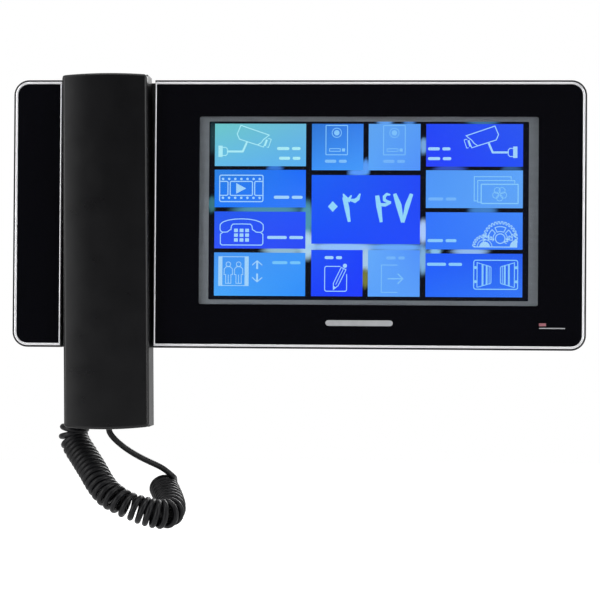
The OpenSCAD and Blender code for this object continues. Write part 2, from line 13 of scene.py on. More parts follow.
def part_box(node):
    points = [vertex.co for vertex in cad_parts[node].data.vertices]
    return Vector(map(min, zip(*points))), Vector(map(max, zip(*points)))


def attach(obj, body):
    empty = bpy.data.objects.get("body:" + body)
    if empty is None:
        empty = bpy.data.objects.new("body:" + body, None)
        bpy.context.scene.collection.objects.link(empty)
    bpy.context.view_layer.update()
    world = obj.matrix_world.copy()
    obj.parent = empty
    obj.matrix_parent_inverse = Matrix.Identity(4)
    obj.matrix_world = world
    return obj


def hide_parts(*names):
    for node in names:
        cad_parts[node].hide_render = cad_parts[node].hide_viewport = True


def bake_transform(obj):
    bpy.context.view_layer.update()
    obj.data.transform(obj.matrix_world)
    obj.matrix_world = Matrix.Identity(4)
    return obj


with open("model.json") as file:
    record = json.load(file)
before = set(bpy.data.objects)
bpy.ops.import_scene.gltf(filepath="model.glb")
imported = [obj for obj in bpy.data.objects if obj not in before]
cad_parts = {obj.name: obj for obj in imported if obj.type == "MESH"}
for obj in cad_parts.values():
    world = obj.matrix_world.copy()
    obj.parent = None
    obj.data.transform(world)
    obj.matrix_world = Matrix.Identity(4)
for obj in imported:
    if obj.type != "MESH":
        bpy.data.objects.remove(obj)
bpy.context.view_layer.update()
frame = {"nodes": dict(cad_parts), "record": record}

MM = 0.001
scene = bpy.context.scene
nodes = frame["nodes"]

# ---------------------------------------------------------------- small helpers


def srgb(red, green, blue):
    """A display colour from 0 to 255 as linear light."""
    def linear(value):
        value /= 255
        return value / 12.92 if value <= 0.04045 else ((value + 0.055) / 1.055) ** 2.4
    return (linear(red), linear(green), linear(blue), 1.0)


def mix(a, b, share):
    """a and b mixed, number by number."""
    return tuple(p + (q - p) * share for p, q in zip(a, b))


def box_mm(node):
    """A CAD node's lowest and highest corner in millimetres."""
    low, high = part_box(node)
    return low / MM, high / MM


def mesh_object(name, points, faces, material, smooth_angle=None):
    """A mesh object from points in millimetres."""
    mesh = bpy.data.meshes.new(name)
    mesh.from_pydata([tuple(c * MM for c in p) for p in points], [], faces)
    mesh.validate()
    obj = bpy.data.objects.new(name, mesh)
    scene.collection.objects.link(obj)
    mesh.materials.append(material)
    if smooth_angle is not None:
        mesh.shade_smooth()
        mesh.set_sharp_from_angle(angle=math.radians(smooth_angle))
    return obj


# ---------------------------------------------------------------- materials


def noise(tree, scale, detail=3.0, stretch=(1, 1, 1)):
    """Procedural noise in object space; scale is in cycles per metre."""
    place = tree.nodes.new("ShaderNodeTexCoord")
    mapping = tree.nodes.new("ShaderNodeMapping")
    mapping.inputs["Scale"].default_value = [scale * s for s in stretch]
    texture = tree.nodes.new("ShaderNodeTexNoise")
    texture.inputs["Scale"].default_value = 1.0
    texture.inputs["Detail"].default_value = detail
    tree.links.new(place.outputs["Object"], mapping.inputs["Vector"])
    tree.links.new(mapping.outputs["Vector"], texture.inputs["Vector"])
    return texture.outputs["Fac"]


def ramp(tree, factor, low, high, start=0.3, end=0.7):
    """A colour ramp from low to high over part of the factor's range."""
    node = tree.nodes.new("ShaderNodeValToRGB")
    node.color_ramp.elements[0].position = start
    node.color_ramp.elements[0].color = low
    node.color_ramp.elements[1].position = end
    node.color_ramp.elements[1].color = high
    tree.links.new(factor, node.inputs["Fac"])
    return node.outputs["Color"]


def spread(tree, factor, low, high):
    """A number from low to high as the factor goes from 0.3 to 0.7."""
    node = tree.nodes.new("ShaderNodeMapRange")
    node.inputs["From Min"].default_value = 0.3
    node.inputs["From Max"].default_value = 0.7
    node.inputs["To Min"].default_value = low
    node.inputs["To Max"].default_value = high
    tree.links.new(factor, node.inputs["Value"])
    return node.outputs["Result"]


def surface(name, colour, rough, metal, vary, blotch, grain, bump, stretch=(1, 1, 1),
            rough_spread=0.06, coat=0.0, ior=1.5):
    """A solid surface: slightly uneven colour, uneven roughness and a fine raised grain."""
    made = bpy.data.materials.new(name)
    made.use_nodes = True
    tree = made.node_tree
    shader = tree.nodes["Principled BSDF"]
    dark = [c * (1 - vary) for c in colour[:3]] + [1.0]
    light = [min(1.0, c * (1 + vary)) for c in colour[:3]] + [1.0]
    patches = noise(tree, blotch, 4.0, stretch)
    tree.links.new(ramp(tree, patches, dark, light), shader.inputs["Base Color"])
    streaks = noise(tree, blotch * 3.1, 3.0, stretch)
    low, high = max(0.02, rough - rough_spread), min(1.0, rough + rough_spread)
    tree.links.new(spread(tree, streaks, low, high), shader.inputs["Roughness"])
    raised = tree.nodes.new("ShaderNodeBump")
    raised.inputs["Strength"].default_value = 1.0
    raised.inputs["Distance"].default_value = bump * MM
    tree.links.new(noise(tree, grain, 2.0, stretch), raised.inputs["Height"])
    tree.links.new(raised.outputs["Normal"], shader.inputs["Normal"])
    shader.inputs["Metallic"].default_value = metal
    shader.inputs["IOR"].default_value = ior
    shader.inputs["Coat Weight"].default_value = coat
    shader.inputs["Coat Roughness"].default_value = 0.08
    return made


def clear_surface(name, tint, rough):
    """Clear glass or plastic that lets the lamps' light through to what is behind it."""
    made = bpy.data.materials.new(name)
    made.use_nodes = True
    tree = made.node_tree
    shader = tree.nodes["Principled BSDF"]
    shader.inputs["Base Color"].default_value = tint
    shader.inputs["Transmission Weight"].default_value = 1.0
    shader.inputs["IOR"].default_value = 1.49
    smudges = noise(tree, 45.0, 4.0)
    tree.links.new(spread(tree, smudges, rough * 0.6, rough * 1.4), shader.inputs["Roughness"])
    passing = tree.nodes.new("ShaderNodeBsdfTransparent")
    passing.inputs["Color"].default_value = tint
    path = tree.nodes.new("ShaderNodeLightPath")
    either = tree.nodes.new("ShaderNodeMixShader")
    tree.links.new(path.outputs["Is Shadow Ray"], either.inputs["Fac"])
    tree.links.new(shader.outputs["BSDF"], either.inputs[1])
    tree.links.new(passing.outputs["BSDF"], either.inputs[2])
    tree.links.new(either.outputs["Shader"], tree.nodes["Material Output"].inputs["Surface"])
    return made


def lit_surface(name, strength):
    """Lit pixels: the colour painted on the points, with the display's fine columns over it."""
    made = bpy.data.materials.new(name)
    made.use_nodes = True
    tree = made.node_tree
    shader = tree.nodes["Principled BSDF"]
    shader.inputs["Base Color"].default_value = (0.001, 0.001, 0.0015, 1)
    shader.inputs["Roughness"].default_value = 0.5
    shader.inputs["Specular IOR Level"].default_value = 0.05
    painted = tree.nodes.new("ShaderNodeAttribute")
    painted.attribute_name = "tint"
    place = tree.nodes.new("ShaderNodeTexCoord")
    columns = tree.nodes.new("ShaderNodeTexWave")
    columns.bands_direction = "X"
    columns.inputs["Scale"].default_value = 800.0
    tree.links.new(place.outputs["Object"], columns.inputs["Vector"])
    shade = ramp(tree, columns.outputs["Fac"], (0.95, 0.95, 0.95, 1), (1, 1, 1, 1), 0.0, 1.0)
    product = tree.nodes.new("ShaderNodeMix")
    product.data_type = "RGBA"
    product.blend_type = "MULTIPLY"
    product.inputs["Factor"].default_value = 1.0
    tree.links.new(painted.outputs["Color"], product.inputs["A"])
    tree.links.new(shade, product.inputs["B"])
    tree.links.new(product.outputs["Result"], shader.inputs["Emission Color"])
    shader.inputs["Emission Strength"].default_value = strength
    return made


# each finish: colour, roughness, metal, how uneven the colour is, blotches and grain to the metre,
# height of the grain in millimetres, and how the pattern is stretched
FINISHES = {
    "zinc_steel": ((0.55, 0.56, 0.57), 0.36, 1.0, 0.15, 40, 900, 0.01, (1, 1, 6)),
    "housing_black": ((0.016, 0.016, 0.018), 0.46, 0.0, 0.15, 50, 3200, 0.035),
    "trim_silver": ((0.86, 0.86, 0.88), 0.42, 0.75, 0.03, 90, 1200, 0.0006),
    "panel_acrylic": ((0.0016, 0.0016, 0.0028), 0.05, 0.0, 0.1, 12, 700, 0.0008),
    "light_red": ((0.3, 0.12, 0.14), 0.25, 0.0, 0.1, 200, 3000, 0.004),
    "rubber_black": ((0.02, 0.02, 0.02), 0.7, 0.0, 0.2, 120, 4000, 0.03),
    "screw_steel": ((0.5, 0.5, 0.51), 0.3, 1.0, 0.15, 300, 4000, 0.006),
    "bezel_steel": ((0.19, 0.205, 0.22), 0.42, 0.35, 0.06, 60, 1500, 0.004, (1, 1, 9)),
    "display": ((0.004, 0.005, 0.009), 0.2, 0.0, 0.1, 30, 2000, 0.001),
    "diffuser": ((0.82, 0.84, 0.84), 0.4, 0.0, 0.05, 30, 2500, 0.01),
    "flex_amber": ((0.52, 0.22, 0.04), 0.3, 0.0, 0.15, 80, 1500, 0.01, (1, 1, 12)),
    "connector_ivory": ((0.75, 0.7, 0.58), 0.45, 0.0, 0.06, 90, 2500, 0.015),
    "board_green": ((0.012, 0.11, 0.04), 0.3, 0.0, 0.35, 900, 2200, 0.03),
    "chip_black": ((0.02, 0.02, 0.022), 0.55, 0.0, 0.2, 300, 5000, 0.02),
    "capacitor_sleeve": ((0.02, 0.025, 0.05), 0.28, 0.0, 0.2, 200, 2500, 0.01),
    "ferrite": ((0.08, 0.08, 0.085), 0.6, 0.1, 0.2, 200, 3000, 0.04),
    "cell_steel": ((0.62, 0.62, 0.63), 0.28, 1.0, 0.08, 80, 3500, 0.004),
    "terminal_green": ((0.02, 0.22, 0.07), 0.42, 0.0, 0.1, 100, 2500, 0.02),
    "cone_paper": ((0.035, 0.035, 0.037), 0.85, 0.0, 0.3, 500, 5000, 0.06),
    "plunger_grey": ((0.42, 0.42, 0.43), 0.4, 0.0, 0.08, 100, 2500, 0.015),
    "socket_black": ((0.02, 0.02, 0.022), 0.4, 0.0, 0.15, 90, 3000, 0.02),
    "handset_black": ((0.0035, 0.0035, 0.0042), 0.3, 0.0, 0.12, 30, 5200, 0.002),
    "ballast_iron": ((0.25, 0.25, 0.26), 0.55, 0.8, 0.25, 100, 1800, 0.06),
    "cord_black": ((0.003, 0.003, 0.004), 0.42, 0.0, 0.2, 150, 3000, 0.004),
    "mark_silver": ((0.55, 0.56, 0.58), 0.35, 0.5, 0.06, 300, 4000, 0.003),
}
SPECIAL = {
    "trim_silver": {"rough_spread": 0.03},
    "panel_acrylic": {"rough_spread": 0.015},
    "board_green": {"coat": 0.4},
    "handset_black": {"rough_spread": 0.03, "ior": 1.4},
    "cord_black": {"ior": 1.33},
}
MATERIALS = {name: surface(name, *row, **SPECIAL.get(name, {})) for name, row in FINISHES.items()}
MATERIALS["touch_glass"] = clear_surface("touch_glass", (0.97, 0.98, 0.99, 1), 0.02)
MATERIALS["plug_clear"] = clear_surface("plug_clear", (0.9, 0.92, 0.93, 1), 0.12)
SCREEN = lit_surface("screen_pixels", 1.06)


def finish_cad_nodes():
    """Each carried-over CAD node takes its slot's material, and its edges a small round."""
    rounds = {
        "rear_housing": 0.5, "front_frame": 0.25, "handset_back": 0.5, "wall_bracket": 0.2,
        "cradle": 0.3, "touch_glass": 0.2, "lcd_bezel": 0.1, "power_slider": 0.12,
        "panel_left": 0.12, "panel_right": 0.12, "hook_plunger": 0.3,
    }
    for row in frame["record"]["subparts"]:
        obj = nodes[row["node"]]
        obj.data.materials.clear()
        obj.data.materials.append(MATERIALS[row["material_slot"]])
        if row["node"] in rounds:
            bevel = obj.modifiers.new("edge_round", "BEVEL")
            bevel.width = rounds[row["node"]] * MM
            bevel.segments = 2
            bevel.limit_method = "ANGLE"
            bevel.angle_limit = math.radians(35)
            bevel.harden_normals = True


# ---------------------------------------------------------------- outlines and shells

# steps along each side of a shell's outline, and round each half of its corners
SIDE_STEPS = 22
CORNER_STEPS = 4


def arc(x, z, radius, start, end, steps=16):
    """Points along an arc, from start to end in degrees, anticlockwise from +X."""
    angles = [math.radians(start + (end - start) * k / steps) for k in range(steps + 1)]
    return [(x + radius * math.cos(a), z + radius * math.sin(a)) for a in angles]


def ring(x, z, radius, steps=20):
    """Points round a full circle."""
    return arc(x, z, radius, 0, 360 * (steps - 1) / steps, steps - 1)


def rounded(x0, x1, z0, z1, radius):
    """Points round a rectangle with round corners, anticlockwise."""
    return (arc(x0 + radius, z0 + radius, radius, 180, 270, 4)
            + arc(x1 - radius, z0 + radius, radius, 270, 360, 4)
            + arc(x1 - radius, z1 - radius, radius, 0, 90, 4)
            + arc(x0 + radius, z1 - radius, radius, 90, 180, 4))


def soft_rectangle(half_w, top, bottom, radius, top_rise=0.0, bottom_rise=0.0):
    """Points round a rectangle with round corners and arched ends, in four equal runs.

    The runs are bottom, right, top and left, and each starts at the middle of a corner.
    """
    def corner(x, z, start):
        return arc(x, z, radius, start, start + 90, 2 * CORNER_STEPS)

    inner_x = half_w - radius
    corners = [corner(-inner_x, bottom + radius, 180), corner(inner_x, bottom + radius, 270),
               corner(inner_x, top - radius, 0), corner(-inner_x, top - radius, 90)]
    loop = []
    for i in range(4):
        first, last = corners[i][CORNER_STEPS:], corners[(i + 1) % 4][:CORNER_STEPS + 1]
        a, b = first[-1], last[0]
        middle = [mix(a, b, k / SIDE_STEPS) for k in range(1, SIDE_STEPS)]
        loop += first + middle + last[:-1]
    arched = []
    middle_z = (top + bottom) / 2
    for x, z in loop:
        rise = top_rise if z > middle_z else bottom_rise
        sign = 1 if z > middle_z else -1
        share = abs(z - middle_z) / (top - middle_z)
        arched.append((x, z - sign * rise * (x / half_w) ** 2 * share ** 8))
    return arched


def patch(loop):
    """Inner points and faces of a sheet that fills a loop made of four equal runs.

    Point numbers below len(loop) are the loop's own.
    """
    n = len(loop) // 4
    bottom = list(range(n + 1))
    right = [n + i for i in range(n + 1)]
    top = [3 * n - i for i in range(n + 1)]
    left = [(4 * n - i) % (4 * n) for i in range(n + 1)]
    count = len(loop)
    axes = list(zip(*loop))
    inner, number = [], {}
    for j in range(1, n):
        v = j / n
        for i in range(1, n):
            u = i / n
            point = []
            for at in axes:
                ruled = ((1 - v) * at[bottom[i]] + v * at[top[i]]
                         + (1 - u) * at[left[j]] + u * at[right[j]])
                twist = ((1 - u) * (1 - v) * at[bottom[0]] + u * (1 - v) * at[bottom[n]]
                         + (1 - u) * v * at[top[0]] + u * v * at[top[n]])
                point.append(ruled - twist)
            number[(i, j)] = count + len(inner)
            inner.append(tuple(point))
    for i in range(n + 1):
        number[(i, 0)] = bottom[i]
        number[(i, n)] = top[i]
        number[(0, i)] = left[i]
        number[(n, i)] = right[i]
    faces = [(number[(i, j)], number[(i + 1, j)], number[(i + 1, j + 1)], number[(i, j + 1)])
             for j in range(n) for i in range(n)]
    return inner, faces


def shell(name, rings, material, smooth_angle):
    """A closed shell from rings, each (outline, depth function), capped by a patch at both ends."""
    points, faces = [], []
    count = len(rings[0][0])
    for outline, depth in rings:
        points += [(x, -depth(x, z), z) for x, z in outline]
    for r in range(len(rings) - 1):
        a, b = r * count, (r + 1) * count
        faces += [(a + k, a + (k + 1) % count, b + (k + 1) % count, b + k) for k in range(count)]
    for r, flip in ((0, False), (len(rings) - 1, True)):
        outline, depth = rings[r]
        inner, quads = patch(outline)
        start = len(points)
        points += [(x, -depth(x, z), z) for x, z in inner]
        for quad in quads:
            moved = [r * count + k if k < count else start + k - count for k in quad]
            faces.append(moved[::-1] if flip else moved)
    return mesh_object(name, points, faces, material, smooth_angle)


def level(depth):
    """A depth function that is the same everywhere."""
    return lambda x, z: depth


# ---------------------------------------------------------------- cord

CORD_DIAMETER = 3.0
COIL_DIAMETER = 14.8
# how finely the cord is drawn: sides round it, points in each turn, and millimetres between points
CORD_SIDES = 12
TURN_STEPS = 24
STRAIGHT_STEP = 1.2
AXIS_STEP = 0.25
# how many points either side give the direction of the coil's axis
AXIS_REACH = 6
# the coil's own direction is carried on this far where the straight ends leave it
LEAD_RUN_ON = 2.5
TAIL_RUN_ON = 3.0
LEAD_ROUTE = [
    (-92.9, -28.1, -105.3), (-92.88, -28.1, -106.8), (-92, -27.9, -109), (-89.4, -26.9, -112.1),
    (-85.8, -25.5, -115.3), (-82, -23.6, -118.1), (-78.2, -21.7, -120.5), (-74.4, -19.8, -122.6),
    (-70.6, -18, -124.5), (-67, -16.4, -126.6), (-63.4, -14.7, -129.7), (-62.6, -12, -131),
]
COIL_ROUTE = [
    (-68.2, -9, -135.6), (-66.2, -14, -138), (-64.3, -19.2, -140.4), (-62.7, -24.1, -142.6),
    (-61.7, -28.6, -144.5), (-61.7, -32.6, -146.2), (-63.6, -36, -147.2), (-67.8, -37.9, -147),
    (-72.5, -38.2, -146), (-77.2, -38.2, -144.5), (-81.8, -37.8, -143), (-86.2, -36.6, -141),
    (-92.4, -33.2, -137.6), (-97.2, -28.8, -132.8), (-101, -23.8, -128), (-104.8, -19, -123.6),
    (-108.4, -14.6, -119.4), (-111.8, -11, -115.2), (-113.8, -9.2, -110.6), (-113, -8.6, -105.8),
]
TAIL_ROUTE = [
    (-110, -9.5, -98.5), (-107.6, -10.3, -91), (-106.3, -10.8, -83), (-106, -10.9, -76),
    (-106, -10.9, -69.5),
]
# the side of the coil that the straight lead comes in on
COIL_START_SIDE = (5.7, 1.2, 1.0)
# how far apart the turns are along the coil: they touch, but for the stretch where it hangs lowest
PITCHES = [(0.0, 3.0), (0.31, 3.0), (0.38, 3.4), (0.42, 4.2), (0.49, 4.2), (0.56, 3.4), (0.63, 3.2),
           (0.7, 3.0), (1.0, 3.0)]
# the stretched turns are this much narrower than the closed ones
OPEN_NARROWING = 0.5


def smooth_line(route, step):
    """A smooth line through the route's points, with a point about every step."""
    points = [Vector(p) for p in route]
    padded = [points[0] * 2 - points[1]] + points + [points[-1] * 2 - points[-2]]
    line = []
    for i in range(1, len(padded) - 2):
        a, b, c, d = padded[i - 1:i + 3]
        pieces = max(2, round((c - b).length / step))
        for k in range(pieces):
            t = k / pieces
            line.append(0.5 * (2 * b + (c - a) * t + (2 * a - 5 * b + 4 * c - d) * t ** 2
                               + (3 * b - a - 3 * c + d) * t ** 3))
    line.append(points[-1])
    return line


def eased(value, start, end):
    """0 before start, 1 after end, and smooth between them."""
    share = min(1.0, max(0.0, (value - start) / (end - start)))
    return share * share * (3 - 2 * share)


def pitch_at(share):
    """The coil's pitch at a share of its length, smooth between the listed values."""
    for (start, low), (end, high) in zip(PITCHES, PITCHES[1:]):
        if share <= end:
            return low + (high - low) * eased(share, start, end)
    return PITCHES[-1][1]


def coil_line():
    """The cord's centreline round the coil, and how far along the coil each point is, from 0 to 1."""
    axis = smooth_line(COIL_ROUTE, AXIS_STEP)
    lengths = [0.0]
    for a, b in zip(axis, axis[1:]):
        lengths.append(lengths[-1] + (b - a).length)
    closed_pitch = PITCHES[0][1]
    widest_pitch = max(pitch for share, pitch in PITCHES)
    normal = Vector(COIL_START_SIDE)
    line, shares = [], []
    angle, next_angle = 0.0, 0.0
    turn_step = 2 * math.pi / TURN_STEPS
    for i in range(len(axis) - 1):
        share = lengths[i] / lengths[-1]
        pitch = pitch_at(share)
        opened = (pitch - closed_pitch) / (widest_pitch - closed_pitch)
        radius = (COIL_DIAMETER - CORD_DIAMETER) / 2 - OPEN_NARROWING * opened
        after, before = axis[min(i + AXIS_REACH, len(axis) - 1)], axis[max(i - AXIS_REACH, 0)]
        ahead = (after - before).normalized()
        normal = (normal - ahead * normal.dot(ahead)).normalized()
        across = normal.cross(ahead)
        gain = (lengths[i + 1] - lengths[i]) / pitch * 2 * math.pi
        while next_angle < angle + gain:
            centre = axis[i].lerp(axis[i + 1], (next_angle - angle) / gain)
            offset = normal * math.cos(next_angle) + across * math.sin(next_angle)
            line.append(centre + offset * radius)
            shares.append(share)
            next_angle += turn_step
        angle += gain
    return line, shares


def sweep(name, line, radius, sides, material):
    """A round tube along a line, closed at both ends, and the ring number of each point."""
    points, rings = [], []
    normal = Vector((0, 1, 0)).cross(line[1] - line[0]).normalized()
    for i, centre in enumerate(line):
        ahead = (line[min(i + 1, len(line) - 1)] - line[max(i - 1, 0)]).normalized()
        normal = (normal - ahead * normal.dot(ahead)).normalized()
        across = ahead.cross(normal)
        for k in range(sides):
            a = 2 * math.pi * k / sides
            points.append(centre + (normal * math.cos(a) + across * math.sin(a)) * radius)
            rings.append(i)
    faces = []
    for i in range(len(line) - 1):
        for k in range(sides):
            k2 = (k + 1) % sides
            faces.append((i * sides + k, i * sides + k2, (i + 1) * sides + k2, (i + 1) * sides + k))
    faces.append(tuple(range(sides))[::-1])
    faces.append(tuple((len(line) - 1) * sides + k for k in range(sides)))
    return mesh_object(name, points, faces, material, 60), rings


def make_cord():
    """The handset's curly cord: straight lead, coil and straight tail as one tube."""
    coil, coil_shares = coil_line()
    # each straight end meets the coil along the coil's own direction there
    coming = coil[0] + (coil[0] - coil[1]).normalized() * LEAD_RUN_ON
    leaving = coil[-1] + (coil[-1] - coil[-2]).normalized() * TAIL_RUN_ON
    lead = smooth_line(LEAD_ROUTE + [coming, coil[0]], STRAIGHT_STEP)[:-1]
    tail = smooth_line([coil[-1], leaving] + TAIL_ROUTE, STRAIGHT_STEP)[1:]
    line = lead + coil + tail
    cord, rings = sweep("curly_cord", line, CORD_DIAMETER / 2, CORD_SIDES, MATERIALS["cord_black"])
    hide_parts("cord_lead", "cord_coil", "cord_tail")
    metres = [p * MM for p in line]
    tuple(metres[0])
    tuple(metres[-1])
    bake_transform(cord)
    # the length along the whole cord, in metres
    length = sum((b - a).length for a, b in zip(metres, metres[1:]))
    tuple(metres[0])


# ---------------------------------------------------------------- handset

HANDSET_WIDTH = 42.0
HANDSET_LENGTH = 174.5
# degrees that the handset leans in its channel, its top to the left
HANDSET_LEAN = 0.75


def make_handset_front():
    """The handset's crowned outer shell, with soft edges and the seam's step behind it."""
    low, high = box_mm("handset_front")
    front_d, back_d = -low.y, -high.y
    crown = 2.5
    half_w = HANDSET_WIDTH / 2
    crown_r = (half_w ** 2 + crown ** 2) / (2 * crown)
    seam_d = back_d + 0.7
    lip = 0.8
    wall = 2.0
    edge_r = 1.3
    corner_r = 1.7
    top_rise, bottom_rise = 0.6, 1.1

    def outline(margin):
        """The shell's outline, drawn in by a margin."""
        half_length = HANDSET_LENGTH / 2 - margin
        return soft_rectangle(half_w - margin, half_length, -half_length,
                              max(corner_r - margin, 0.15), top_rise, bottom_rise)

    def crowned(drop):
        """The depth of the crowned face, less a drop."""
        return lambda x, z: front_d - crown_r + math.sqrt(crown_r ** 2 - x ** 2) - drop

    rings = [(outline(wall + lip), crowned(wall)), (outline(wall + lip), level(back_d)),
             (outline(lip), level(back_d)), (outline(lip), level(seam_d)),
             (outline(0.25), level(seam_d)), (outline(0.07), level(seam_d + 0.07)),
             (outline(0), level(seam_d + 0.25))]
    steps = 7
    for k in range(steps + 1):
        a = math.radians(90 * k / steps)
        rings.append((outline(edge_r * (1 - math.cos(a))), crowned(edge_r * (1 - math.sin(a)))))
    obj = shell("handset_shell", rings, MATERIALS["handset_black"], 40)
    place = Matrix.Translation(Vector(((low.x + high.x) / 2, 0, (low.z + high.z) / 2)) * MM)
    obj.data.transform(place @ Matrix.Rotation(math.radians(-HANDSET_LEAN), 4, "Y"))
    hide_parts("handset_front")
    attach(obj, "handset")


# ---------------------------------------------------------------- trims


def make_trim(node, outer_side):
    """One silver frame round a panel, with a rounded face; its run beside the channel is thin."""
    low, high = box_mm(node)
    trim_w, line_w = 1.3, 0.8
    inset = 0.2
    corner_r, square_r = 6.8, 0.02
    back_d, front_d = -high.y, -low.y
    bulge = 0.45
    steps, corner_steps = 10, 12

    def loop(share):
        """The frame's outline at a share of the way from its outer edge to its inner edge."""
        rise = inset + share * (trim_w - inset)
        left = low.x + (rise if outer_side < 0 else share * line_w)
        right = high.x - (share * line_w if outer_side < 0 else rise)
        radius = corner_r - rise
        points = []
        for cx, cz, start in ((left, low.z + rise, 180), (right, low.z + rise, 270),
                              (right, high.z - rise, 0), (left, high.z - rise, 90)):
            on_left = cx == left
            r = radius if on_left == (outer_side < 0) else square_r
            mx = cx + r if on_left else cx - r
            mz = cz + r if start >= 180 else cz - r
            points += arc(mx, mz, r, start, start + 90, corner_steps)
        return points

    profile = [(0.0, back_d)]
    for k in range(steps + 1):
        share = 0.5 - 0.5 * math.cos(math.pi * k / steps)
        profile.append((share, front_d - bulge + bulge * math.sin(math.pi * k / steps) ** 0.8))
    profile.append((1.0, back_d))
    points = []
    for share, depth in profile:
        points += [(x, -depth, z) for x, z in loop(share)]
    count = len(points) // len(profile)
    faces = []
    for r in range(len(profile)):
        a, b = r * count, ((r + 1) % len(profile)) * count
        faces += [(a + k, a + (k + 1) % count, b + (k + 1) % count, b + k) for k in range(count)]
    obj = mesh_object(node + "_frame", points, faces, MATERIALS["trim_silver"], 50)
    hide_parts(node)
    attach(obj, "monitor")


# ---------------------------------------------------------------- display

screen_low, screen_high = box_mm("lcd_cell")
SCREEN_X = (screen_low.x + screen_high.x) / 2
SCREEN_Z = (screen_low.z + screen_high.z) / 2
SCREEN_D = -screen_low.y
OPENING_WIDTH = 157.0
OPENING_HEIGHT = 87.8
# how far each layer stands off the display, their thickness, and the usual width of an icon's lines
WALLPAPER_LIFT = 0.02
TILES_LIFT = 0.08
ICONS_LIFT = 0.14
INK = 0.04
LINE = 0.5
# columns and rows of the menu, about the display's centre
LEFT = (-75.7, -30.7)
MIDDLE = (-27.8, 25.5)
RIGHT = (28.3, 75.6)
SPLIT = (-2.5, 0.1)
TOP_ROW = (21.9, 42.8)
SECOND_ROW = (1.6, 20.1)
THIRD_ROW = (-18.7, -0.5)
LAST_ROW = (-42.0, -20.7)
DOOR_ROW = (20.0, 42.8)
CLOCK_ROW = (-16.2, 17.6)
LOW_DOOR_ROW = (-42.0, -19.2)
LEFT_DOOR = (MIDDLE[0], SPLIT[0])
RIGHT_DOOR = (SPLIT[1], MIDDLE[1])
# each tile's columns and rows, and its colours at low left, low right, top left and top right
TILES = [
    (LEFT, TOP_ROW, (104, 190, 236), (92, 178, 244), (112, 204, 205), (110, 190, 225)),
    (LEFT, SECOND_ROW, (28, 124, 255), (52, 124, 255), (44, 132, 228), (28, 110, 255)),
    (LEFT, THIRD_ROW, (48, 84, 255), (42, 76, 250), (34, 90, 240), (40, 84, 255)),
    (LEFT, LAST_ROW, (74, 170, 255), (48, 146, 255), (70, 150, 245), (64, 156, 255)),
    (LEFT_DOOR, DOOR_ROW, (62, 150, 252), (70, 156, 255), (48, 120, 215), (56, 130, 240)),
    (RIGHT_DOOR, DOOR_ROW, (92, 168, 255), (84, 150, 255), (98, 168, 245), (90, 160, 250)),
    (MIDDLE, CLOCK_ROW, (26, 78, 255), (34, 76, 255), (28, 98, 248), (34, 74, 250)),
    (LEFT_DOOR, LOW_DOOR_ROW, (26, 66, 255), (30, 60, 255), (32, 84, 250), (28, 68, 255)),
    (RIGHT_DOOR, LOW_DOOR_ROW, (94, 166, 255), (92, 162, 255), (104, 174, 255), (84, 150, 255)),
    (RIGHT, TOP_ROW, (40, 66, 255), (36, 82, 250), (34, 72, 250), (44, 88, 245)),
    (RIGHT, SECOND_ROW, (84, 158, 255), (96, 166, 250), (80, 152, 250), (96, 168, 255)),
    (RIGHT, THIRD_ROW, (52, 122, 255), (62, 128, 255), (52, 118, 255), (66, 138, 255)),
    (RIGHT, LAST_ROW, (38, 108, 255), (54, 122, 250), (32, 92, 255), (38, 96, 245)),
]
PALE = srgb(165, 215, 255)
PALE_CYAN = srgb(175, 240, 250)
FAINT = srgb(128, 196, 255)
FAINTER = srgb(118, 184, 255)
# the plain bars that stand where the words are: left end, right end, height and colour
LABELS = [
    (-45.0, -33.4, 30.6, PALE_CYAN),
    (-44.0, -33.4, 25.8, PALE_CYAN),
    (-46.4, -32.2, 6.6, PALE),
    (-49.6, -31.8, -13.2, PALE),
    (-47.0, -33.0, -25.6, srgb(120, 200, 255)),
    (-21.4, -10.6, 24.4, srgb(130, 195, 255)),
    (7.2, 18.0, 24.4, FAINTER),
    (-21.2, -12.6, -23.0, PALE),
    (9.0, 18.2, -23.0, FAINTER),
    (29.2, 40.2, 30.6, PALE),
    (29.2, 40.6, 25.8, PALE),
    (29.4, 43.2, 6.0, FAINTER),
    (29.2, 43.4, -14.4, srgb(140, 205, 255)),
    (29.0, 46.2, -26.0, srgb(140, 205, 255)),
]


